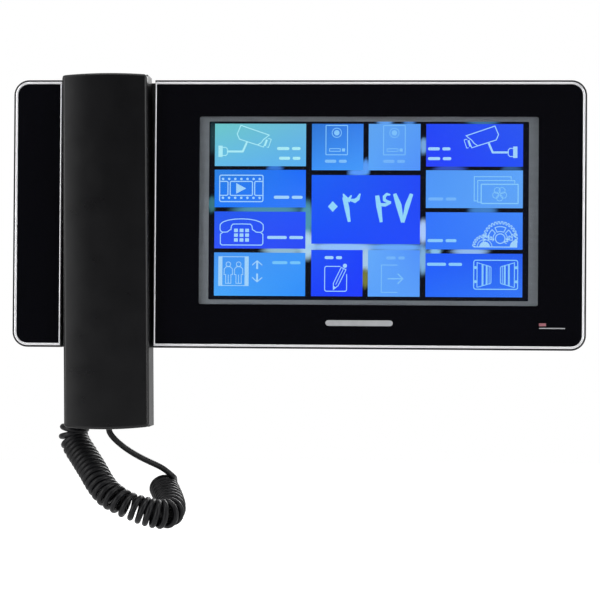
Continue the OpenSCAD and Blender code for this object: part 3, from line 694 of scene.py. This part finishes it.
class Artwork:
    """Flat shapes on one layer of the display, gathered into one mesh."""

    def __init__(self, name, depth):
        self.name = name
        self.depth = depth
        self.points = []
        self.faces = []
        self.tints = []

    def add(self, outlines, quads, tint):
        """Thin solids: outlines is a list of (x, z), and quads are faces over them."""
        front = len(self.points)
        count = len(outlines)
        for layer in (self.depth + INK, self.depth):
            self.points += [(SCREEN_X + x, -layer, SCREEN_Z + z) for x, z in outlines]
            self.tints += [tint(x, z) if callable(tint) else tint for x, z in outlines]
        # an edge that only one face uses is on the rim, and gets a side face
        edges = {}
        for quad in quads:
            self.faces.append([front + k for k in quad])
            self.faces.append([front + count + k for k in reversed(quad)])
            for a, b in zip(quad, quad[1:] + quad[:1]):
                edges[(a, b)] = True
        for a, b in edges:
            if (b, a) not in edges:
                self.faces.append([front + b, front + a, front + count + a, front + count + b])

    def fill(self, outline, tint):
        """A filled convex outline, given anticlockwise."""
        self.add(outline, [list(range(len(outline)))], tint)

    def grid(self, x0, x1, z0, z1, columns, rows, tint):
        """A filled rectangle with enough points to carry a gradient."""
        outline = [(x0 + (x1 - x0) * i / columns, z0 + (z1 - z0) * j / rows)
                   for j in range(rows + 1) for i in range(columns + 1)]
        across = columns + 1
        quads = [[j * across + i, j * across + i + 1, (j + 1) * across + i + 1, (j + 1) * across + i]
                 for j in range(rows) for i in range(columns)]
        self.add(outline, quads, tint)

    def line(self, path, tint, width=LINE, closed=False):
        """A line of even width, or of a width given for each point, with mitred joints."""
        path = [Vector(p) for p in path]
        n = len(path)
        widths = width if isinstance(width, (list, tuple)) else [width] * n
        left, right = [], []
        for i, point in enumerate(path):
            before = path[i - 1] if closed or i else None
            after = path[(i + 1) % n] if closed or i < n - 1 else None
            into = (point - before).normalized() if before is not None else None
            out = (after - point).normalized() if after is not None else None
            into = out if into is None else into
            out = into if out is None else out
            along = into + out
            along = along.normalized() if along.length > 1e-3 else out
            normal = Vector((-along.y, along.x))
            reach = widths[i] / 2 / max(0.45, abs(normal.dot(Vector((-into.y, into.x)))))
            left.append(tuple(point + normal * reach))
            right.append(tuple(point - normal * reach))
        quads = [[n + i, n + (i + 1) % n, (i + 1) % n, i] for i in range(n if closed else n - 1)]
        self.add(left + right, quads, tint)

    def build(self):
        """The layer as one lit object on the monitor."""
        obj = mesh_object(self.name, self.points, self.faces, SCREEN)
        tint = obj.data.color_attributes.new("tint", "FLOAT_COLOR", "POINT")
        tint.data.foreach_set("color", [c for t in self.tints for c in t])
        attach(obj, "monitor")


def camera_icon(art, x, z, side, tint):
    """A camera on a wall arm; the wall plate is at x, z and side is the way it points."""
    def at(points):
        return [(x + side * px, z + pz) for px, pz in points]
    body = [(10.0, 12.8), (24.0, 8.0), (21.2, 5.8), (20.2, 4.4), (18.3, 3.1), (9.3, 6.0), (8.2, 8.6)]
    art.line(at(body), tint, 0.45, closed=True)
    art.line(at([(18.3, 3.1), (21.2, 2.1), (22.6, 5.4)]), tint, 0.4)
    art.line(at([(21.8, 2.7), (22.9, 5.8)]), tint, 1.0)
    art.line(at([(22.8, 2.1), (23.7, 2.0), (25.0, 5.9), (24.2, 6.3), (23.4, 6.2)]), tint, 0.35)
    art.line(at([(13.0, 4.5), (11.0, -0.1), (3.4, -0.1)]), tint, 1.0)
    art.line(at([(1.0, 1.9), (2.6, 1.9), (3.4, 1.1), (3.4, -1.3), (2.6, -2.1), (1.0, -2.1)]), tint, 0.4)
    art.line([(x, z - 2.8), (x, z + 2.8)], tint, 2.1)


def film_icon(art, x, z, tint):
    """A strip of film with a play arrow."""
    art.line(rounded(x - 10.7, x + 10.7, z - 6.5, z + 6.5, 0.8), tint, LINE, closed=True)
    for row in (-4.65, 4.65):
        for k in range(7):
            art.fill(ring(x - 9.05 + 3.02 * k, z + row, 0.62, 12), tint)
    art.line(rounded(x - 5.5, x + 5.5, z - 3.45, z + 3.45, 0.6), tint, LINE, closed=True)
    for side in (-1, 1):
        art.line([(x + side * 10.6, z + 3.45), (x + side * 7.1, z + 3.45), (x + side * 6.6, z + 3.0),
                  (x + side * 6.6, z - 3.0), (x + side * 7.1, z - 3.45), (x + side * 10.6, z - 3.45)], tint)
    art.fill([(x - 2.5, z + 2.6), (x - 2.5, z - 2.6), (x + 2.4, z)], tint)


def phone_icon(art, x, z, tint):
    """A desk telephone."""
    half = [(0, 6.4), (3.5, 6.25), (6.8, 5.7), (9.3, 4.8), (10.6, 3.6), (10.7, 1.2), (10.2, 0.2),
            (9.3, -0.2), (7.1, -0.1), (6.0, 0.8), (5.3, 1.1), (5.1, 2.9), (4.3, 3.8), (0, 3.9)]
    outline = [(x + px, z + pz) for px, pz in half] + [(x - px, z + pz) for px, pz in half[-2:0:-1]]
    art.line(outline, tint, 0.45, closed=True)
    art.line([(x - 9.4, z - 0.3), (x - 10.5, z - 1.2), (x - 10.5, z - 5.8), (x - 9.8, z - 6.5),
              (x + 9.8, z - 6.5), (x + 10.5, z - 5.8), (x + 10.5, z - 1.2), (x + 9.4, z - 0.3)], tint, 0.45)
    for column in range(3):
        for row in range(3):
            cx, cz = x - 2.8 + 2.75 * column, z + 0.7 - 2.35 * row
            art.fill(rounded(cx - 0.95, cx + 0.95, cz - 0.85, cz + 0.85, 0.15), tint)


def lift_icon(art, x, z, tint):
    """Two people in a lift, with an up arrow and a down arrow."""
    for side in (-1, 1):
        art.line([(x + side * 6.5, z - 7.3), (x + side * 6.5, z + 7.3)], tint, 2.0)
        art.line([(x - 5.5, z + side * 7.1), (x + 5.5, z + side * 7.1)], tint, 0.35)
        px = x + side * 2.55
        art.line(ring(px, z + 3.4, 1.15, 12), tint, 0.35, closed=True)
        art.line([(px - 0.9, z + 2.2), (px - 2.0, z + 1.1), (px - 2.1, z - 1.7), (px - 1.3, z - 1.7),
                  (px - 1.3, z - 6.0), (px + 1.3, z - 6.0), (px + 1.3, z - 1.7), (px + 2.1, z - 1.7),
                  (px + 2.0, z + 1.1), (px + 0.9, z + 2.2)], tint, 0.35, closed=True)
        art.line([(px, z - 1.7), (px, z - 6.0)], tint, 0.35)
        ax, az = x + 11.7, z + side * 1.1
        art.line([(ax - 2.5, az + side * 1.9), (ax, az + side * 4.1),
                  (ax + 2.5, az + side * 1.9)], tint, 0.45)
        art.line([(ax, az), (ax, az + side * 3.8)], tint, 0.9)


def door_icon(art, x, z, tint):
    """A door station: lens, name slot and button on an upright plate."""
    art.line(rounded(x - 5.3, x + 5.3, z - 7.2, z + 7.2, 0.2), tint, 0.4, closed=True)
    art.line(ring(x, z + 3.6, 2.3), tint, 0.35, closed=True)
    art.fill(ring(x, z + 3.6, 1.35, 16), tint)
    art.line(rounded(x - 3.5, x + 1.8, z - 5.5, z - 4.2, 0.2), tint, 0.35, closed=True)
    art.fill(rounded(x + 2.6, x + 4.1, z - 5.6, z - 4.1, 0.1), tint)


def note_icon(art, x, z, tint):
    """A page with a pencil across it."""
    art.line([(x + 2.3, z + 6.1), (x - 4.8, z + 6.1), (x - 5.4, z + 5.5), (x - 5.4, z - 5.5),
              (x - 4.8, z - 6.1), (x + 4.8, z - 6.1), (x + 5.4, z - 5.5), (x + 5.4, z + 2.4)], tint, 0.4)
    along = Vector((5.9, 12.2)).normalized()
    across = Vector((-along.y, along.x))
    tip = Vector((x - 1.1, z - 5.2))

    def at(a, b):
        return tuple(tip + along * a + across * b)
    art.line([at(0, 0), at(2.6, 1.3), at(11.4, 1.3), at(11.4, -1.3), at(2.6, -1.3)], tint, 0.4, closed=True)
    art.line([at(2.6, 0), at(11.4, 0)], tint, 0.35)
    art.fill([at(0, 0), at(1.5, -0.7), at(1.5, 0.7)], tint)
    art.fill(ring(*at(12.9, 0), 1.05, 12), tint)


def exit_icon(art, x, z, tint):
    """An arrow leaving a doorway."""
    art.line([(x + 3.6, z + 6.7), (x - 4.3, z + 6.7), (x - 4.3, z - 6.7), (x + 3.6, z - 6.7)], tint, 0.4)
    art.line([(x - 1.2, z), (x + 6.0, z)], tint, 0.6)
    art.line([(x + 3.7, z + 2.5), (x + 6.2, z), (x + 3.7, z - 2.5)], tint, 0.6)


def photos_icon(art, x, z, tint):
    """A stack of three pictures, the front one with a flower."""
    for shift in (1, 2):
        dx, dz = 1.7 * shift, 1.85 * shift
        art.line([(x + 9.0 - dx, z + 4.7 + dz - 1.4), (x + 9.0 - dx, z + 4.7 + dz),
                  (x - 9.0 - dx, z + 4.7 + dz), (x - 9.0 - dx, z - 4.7 + dz / 3),
                  (x - 9.0 - dx + 1.4, z - 4.7 + dz / 3)], tint, 0.4)
    art.line(rounded(x - 9.0, x + 9.0, z - 4.7, z + 4.7, 0.2), tint, 0.55, closed=True)
    for k in range(5):
        a = math.radians(54 + 72 * k)
        art.line(ring(x + 2.0 * math.cos(a), z + 2.0 * math.sin(a), 1.5, 14), tint, 0.3, closed=True)


def gear_rim(x, z, radius, teeth, start, end):
    """The toothed edge of a gear between two angles, in degrees."""
    rim = []
    count = round(teeth * (end - start) / 360)
    for k in range(count):
        a = start + (end - start) * k / count
        step = (end - start) / count
        for share, r in ((0.1, radius - 1.15), (0.3, radius), (0.65, radius), (0.85, radius - 1.15)):
            angle = math.radians(a + step * share)
            rim.append((x + r * math.cos(angle), z + r * math.sin(angle)))
    return rim


def gears_icon(art, x, z, tint):
    """Three meshing gears behind a base line, the middle one whole."""
    art.line([(x - 13.0, z - 4.1), (x + 8.3, z - 4.1)], tint, 0.45)
    art.line(gear_rim(x, z, 8.4, 30, -28, 208), tint, 0.4)
    for start in (62, -8, 132):
        outer = arc(x, z, 5.9, start, start + 54, 6)
        inner = arc(x, z, 3.5, start + 54, start, 6)
        art.line(outer + inner, tint, 0.4, closed=True)
    art.line(ring(x, z, 2.35), tint, 0.45, closed=True)
    art.line(gear_rim(x - 7.6, z - 4.1, 5.9, 24, 35, 180), tint, 0.4)
    art.line(arc(x - 7.6, z - 4.1, 3.6, 0, 180, 14), tint, 0.35)
    art.fill(arc(x - 7.6, z - 4.1, 2.6, 0, 180, 14), tint)
    art.line(gear_rim(x + 8.3, z - 4.1, 6.6, 24, 90, 165), tint, 0.4)
    art.fill([(x + 8.3, z - 4.1)] + arc(x + 8.3, z - 4.1, 3.6, 90, 180, 8), tint)


def gate_icon(art, x, z, tint):
    """A driveway gate with its two leaves open."""
    art.line(rounded(x - 10.7, x + 10.7, z - 7.1, z + 7.1, 1.0), tint, LINE, closed=True)
    for side in (-1, 1):
        art.line([(x + side * 9.1, z - 6.2), (x + side * 9.1, z + 6.2)], tint, 0.45)
        for row in (-3.4, 3.5):
            art.fill(ring(x + side * 9.9, z + row, 0.75, 10), tint)
        art.line([(x + side * 9.1, z + 5.9), (x + side * 2.6, z + 4.0), (x + side * 2.3, z + 3.5),
                  (x + side * 2.3, z - 3.9), (x + side * 2.6, z - 4.3), (x + side * 9.1, z - 6.2)],
                 tint, 0.4)
        for bar, width in ((6.4, 0.9), (4.4, 0.9), (3.2, 0.35)):
            reach = 4.0 + (bar - 2.6) * 0.29
            art.line([(x + side * bar, z - reach - 0.2), (x + side * bar, z + reach)], tint, width)


def clock_digits(art, tint):
    """The hour and minute, in generic numerals."""
    art.fill([(-17.4, -0.5), (-14.9, 2.1), (-17.4, 4.8), (-19.7, 2.1)], tint)
    art.line([(-11.6, 6.8), (-10.4, 1.5), (-9.2, -5.4)], tint, [2.3, 2.4, 1.4])
    art.line([(-12.3, 8.4), (-11.2, 6.2), (-9.4, 5.3), (-8.2, 7.7)], tint, [0.57, 2.1, 1.7, 0.57])
    art.line([(-8.9, 5.4), (-6.6, 4.9), (-5.0, 6.0), (-3.9, 8.5)], tint, [1, 2, 1.8, 0.69])
    art.line([(4.4, 7.6), (5.3, 2.2), (6.5, -5.5)], tint, [2, 2.5, 1.4])
    art.line([(10.9, 8.0), (9.2, 8.3), (7.9, 7.1), (8.0, 5.4), (9.4, 4.6), (11.3, 4.3)], tint,
             [0.69, 1.3, 1.5, 1.5, 1.5, 0.8])
    art.line([(11.2, 4.0), (8.4, 3.0), (5.4, 3.2)], tint, [0.69, 1.7, 1.6])
    art.line([(13.0, 8.5), (15.0, 3.0), (16.9, -5.6)], tint, [1.7, 2.8, 1.3])
    art.line([(21.3, 8.5), (19.3, 3.0), (17.2, -5.6)], tint, [1.7, 2.4, 1.3])


def label(art, x0, x1, z, tint):
    """A plain bar in two pieces, where a word would be."""
    cut = x0 + (x1 - x0) * 0.58
    for a, b in ((x0, cut - 0.6), (cut + 0.6, x1)):
        art.fill(rounded(a, b, z - 0.75, z + 0.75, 0.7), tint)


def tile(art, columns, rows, low_left, low_right, top_left, top_right):
    """One menu tile with a gradient between its corner colours."""
    (x0, x1), (z0, z1) = columns, rows

    def tint(x, z):
        u, v = (x - x0) / (x1 - x0), (z - z0) / (z1 - z0)
        return mix(mix(low_left, low_right, u), mix(top_left, top_right, u), v)
    art.grid(x0, x1, z0, z1, 10, 5, tint)


# soft patches of the wallpaper that show between the tiles: x, z, half-width, half-height, colour
WALLPAPER = [
    (-50, 0.4, 17, 2.2, srgb(78, 146, 172)), (-30, -4, 3.2, 9, srgb(80, 152, 178)),
    (-30, -17, 4.5, 7, srgb(176, 214, 240)), (-42, -19.6, 10, 2.2, srgb(150, 190, 212)),
    (-12, -17.9, 18, 2.6, srgb(150, 198, 255)), (14, -17.9, 14, 2.2, srgb(108, 172, 255)),
    (-1, -24, 3, 6, srgb(170, 205, 235)), (-1.2, -33, 2, 5, srgb(120, 124, 60)),
    (27, -10, 2.6, 6, srgb(175, 205, 255)), (27, -24, 2.4, 7, srgb(130, 180, 225)),
    (33, -19.7, 3, 2, srgb(140, 195, 235)), (50, -19.7, 9, 2, srgb(150, 190, 240)),
    (56, 0.5, 7, 2, srgb(66, 128, 200)), (-5, 18.8, 5, 2, srgb(90, 156, 255)),
    (-1.2, 21.5, 2, 4, srgb(92, 160, 250)), (27, 32, 2, 4, srgb(120, 170, 225)),
    (-46, 21, 4, 1.6, srgb(56, 120, 214)), (8, 43.6, 4, 1.5, srgb(100, 165, 245)),
    (20, 43.6, 3, 1.2, srgb(80, 140, 220)), (56, 43.6, 8, 1.2, srgb(66, 120, 160)),
    (40, 21, 8, 1.4, srgb(54, 84, 190)), (70, 21, 5, 1.4, srgb(50, 90, 140)),
    (-77, 3, 2, 4, srgb(60, 118, 128)), (-76.8, 36, 1.5, 8, srgb(30, 60, 66)),
]
NIGHT = srgb(3, 5, 16)


def wallpaper_tint(x, z):
    """The wallpaper's colour at a point: dark, with the soft patches over it."""
    colour = NIGHT
    for px, pz, half_x, half_z, patch_colour in WALLPAPER:
        far = ((x - px) / half_x) ** 2 + ((z - pz) / half_z) ** 2
        colour = mix(colour, patch_colour, eased(1.5 - far, 0, 1.2))
    return colour


def make_display():
    """The menu on the display: wallpaper, tiles and line icons, each on its own layer."""
    half_w, half_h = OPENING_WIDTH / 2, OPENING_HEIGHT / 2
    backdrop = Artwork("display_wallpaper", SCREEN_D + WALLPAPER_LIFT)
    backdrop.grid(-half_w, half_w, -half_h, half_h, 130, 72, wallpaper_tint)
    backdrop.build()

    tiles = Artwork("display_tiles", SCREEN_D + TILES_LIFT)
    for columns, rows, *corners in TILES:
        tile(tiles, columns, rows, *(srgb(*colour) for colour in corners))
    tiles.build()

    art = Artwork("display_icons", SCREEN_D + ICONS_LIFT)
    camera_icon(art, -72.9, 29.2, 1, PALE_CYAN)
    camera_icon(art, 71.8, 29.0, -1, PALE)
    film_icon(art, -62.5, 10.9, PALE)
    phone_icon(art, -62.2, -10.5, PALE)
    lift_icon(art, -66.1, -29.9, PALE)
    door_icon(art, -15.6, 34.8, srgb(140, 205, 255))
    door_icon(art, 12.7, 34.8, FAINT)
    note_icon(art, -15.7, -33.4, PALE)
    exit_icon(art, 11.0, -33.2, FAINT)
    photos_icon(art, 64.3, 8.6, srgb(138, 206, 255))
    gears_icon(art, 64.7, -13.3, PALE)
    gate_icon(art, 62.6, -31.0, srgb(140, 205, 255))
    clock_digits(art, srgb(150, 218, 255))
    for x0, x1, z, tint in LABELS:
        label(art, x0, x1, z, tint)
    art.build()


# ---------------------------------------------------------------- small marks


def raised_bar(name, x0, x1, z0, z1, radius):
    """A plain bar with round ends that stands slightly proud of the right panel."""
    panel_y = box_mm("panel_right")[0].y
    outline = rounded(x0, x1, z0, z1, radius)
    count = len(outline)
    points = [(x, panel_y - rise, z) for rise in (-0.02, 0.06) for x, z in outline]
    faces = [tuple(range(count))[::-1], tuple(range(count, 2 * count))]
    faces += [(k, (k + 1) % count, count + (k + 1) % count, count + k) for k in range(count)]
    bar = mesh_object(name, points, faces, MATERIALS["mark_silver"])
    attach(bar, "monitor")


def make_marks():
    """A plain bar under the display, and a thin one under the power light."""
    raised_bar("plain_bar_under_display", 14.0, 47.0, -54.6, -51.8, 1.4)
    low, high = box_mm("light_pipe")
    x = (low.x + high.x) / 2
    raised_bar("plain_bar_under_light", x - 1.7, x + 11, low.z - 1.3, low.z - 0.8, 0.24)


# ---------------------------------------------------------------- studio

CAMERA_PLACE = (58.29, -1028.83, -52.07)
CAMERA_AHEAD = (-0.05688, 0.99833, 0.01004)
CAMERA_UP = (-0.00614, -0.01041, 0.99993)
CAMERA_LENS = 122.21
# lamps: name, place and size in metres, and power in watts
LAMPS = [
    ("key_left", (-1.15, -0.85, 0.25), 0.7, 1.2, 10),
    ("fill_right", (1.25, -0.75, 0.2), 0.6, 1.2, 9),
    ("top", (0.0, -0.35, 1.3), 1.2, 0.6, 8),
    ("rear", (0.5, 1.5, 0.7), 1.2, 0.8, 20),
]
LAMP_TARGET = (-0.02, -0.03, -0.03)
FLOOR_RADIUS = 3000.0
FLOOR_HEIGHT = -330.0


def make_camera():
    """The camera, about a metre in front of the monitor and slightly to its right."""
    camera = bpy.data.objects.new("camera", bpy.data.cameras.new("camera"))
    scene.collection.objects.link(camera)
    look = Vector(CAMERA_AHEAD).normalized()
    right = look.cross(Vector(CAMERA_UP)).normalized()
    up = right.cross(look)
    turn = Matrix((right, up, -look)).transposed().to_4x4()
    camera.matrix_world = Matrix.Translation(Vector(CAMERA_PLACE) * MM) @ turn
    camera.data.lens = CAMERA_LENS
    camera.data.sensor_width = 36.0
    camera.data.clip_start = 0.05
    camera.data.clip_end = 50.0
    scene.camera = camera


def area_light(name, place, width, height, power):
    """A soft rectangular lamp at place, aimed at the monitor and the handset."""
    data = bpy.data.lights.new(name, "AREA")
    data.shape = "RECTANGLE"
    data.size = width
    data.size_y = height
    data.energy = power
    lamp = bpy.data.objects.new(name, data)
    scene.collection.objects.link(lamp)
    lamp.location = place
    aim = Vector(LAMP_TARGET) - Vector(place)
    lamp.rotation_euler = aim.to_track_quat("-Z", "Y").to_euler()
    lamp.visible_camera = False


def make_world():
    """White behind everything; the light itself is dimmer, and dark on the camera's side."""
    world = bpy.data.worlds.new("studio")
    scene.world = world
    world.use_nodes = True
    tree = world.node_tree
    tree.nodes.clear()
    place = tree.nodes.new("ShaderNodeTexCoord")
    split = tree.nodes.new("ShaderNodeSeparateXYZ")
    tree.links.new(place.outputs["Generated"], split.inputs["Vector"])
    depth = tree.nodes.new("ShaderNodeMapRange")
    depth.interpolation_type = "SMOOTHSTEP"
    depth.inputs["From Min"].default_value = -0.97
    depth.inputs["From Max"].default_value = -0.45
    depth.inputs["To Min"].default_value = 0.035
    depth.inputs["To Max"].default_value = 0.5
    tree.links.new(split.outputs["Y"], depth.inputs["Value"])
    lighting = tree.nodes.new("ShaderNodeBackground")
    lighting.inputs["Color"].default_value = (1, 1, 1, 1)
    tree.links.new(depth.outputs["Result"], lighting.inputs["Strength"])
    backdrop = tree.nodes.new("ShaderNodeBackground")
    backdrop.inputs["Color"].default_value = (1, 1, 1, 1)
    backdrop.inputs["Strength"].default_value = 1.0
    path = tree.nodes.new("ShaderNodeLightPath")
    either = tree.nodes.new("ShaderNodeMixShader")
    tree.links.new(path.outputs["Is Camera Ray"], either.inputs["Fac"])
    tree.links.new(lighting.outputs["Background"], either.inputs[1])
    tree.links.new(backdrop.outputs["Background"], either.inputs[2])
    output = tree.nodes.new("ShaderNodeOutputWorld")
    tree.links.new(either.outputs["Shader"], output.inputs["Surface"])


def make_floor():
    """A plain pale floor well below the hanging cord; nearly all its glow is for the camera alone."""
    points = [(x, y, FLOOR_HEIGHT) for x, y in ring(0, 0, FLOOR_RADIUS, 64)]
    pale = bpy.data.materials.new("floor_pale")
    pale.use_nodes = True
    shader = pale.node_tree.nodes["Principled BSDF"]
    shader.inputs["Base Color"].default_value = (0.8, 0.8, 0.8, 1)
    shader.inputs["Roughness"].default_value = 0.9
    shader.inputs["Specular IOR Level"].default_value = 0.0
    shader.inputs["Emission Color"].default_value = (1, 1, 1, 1)
    path = pale.node_tree.nodes.new("ShaderNodeLightPath")
    glow = pale.node_tree.nodes.new("ShaderNodeMapRange")
    glow.inputs["To Min"].default_value = 0.05
    glow.inputs["To Max"].default_value = 0.75
    pale.node_tree.links.new(path.outputs["Is Camera Ray"], glow.inputs["Value"])
    pale.node_tree.links.new(glow.outputs["Result"], shader.inputs["Emission Strength"])
    mesh_object("floor", points, [tuple(range(len(points)))], pale)


make_camera()
make_cord()
finish_cad_nodes()
make_handset_front()
make_trim("trim_left", -1)
make_trim("trim_right", 1)
make_display()
make_marks()
make_world()
make_floor()
for lamp_row in LAMPS:
    area_light(*lamp_row)
scene.view_settings.view_transform = "Standard"
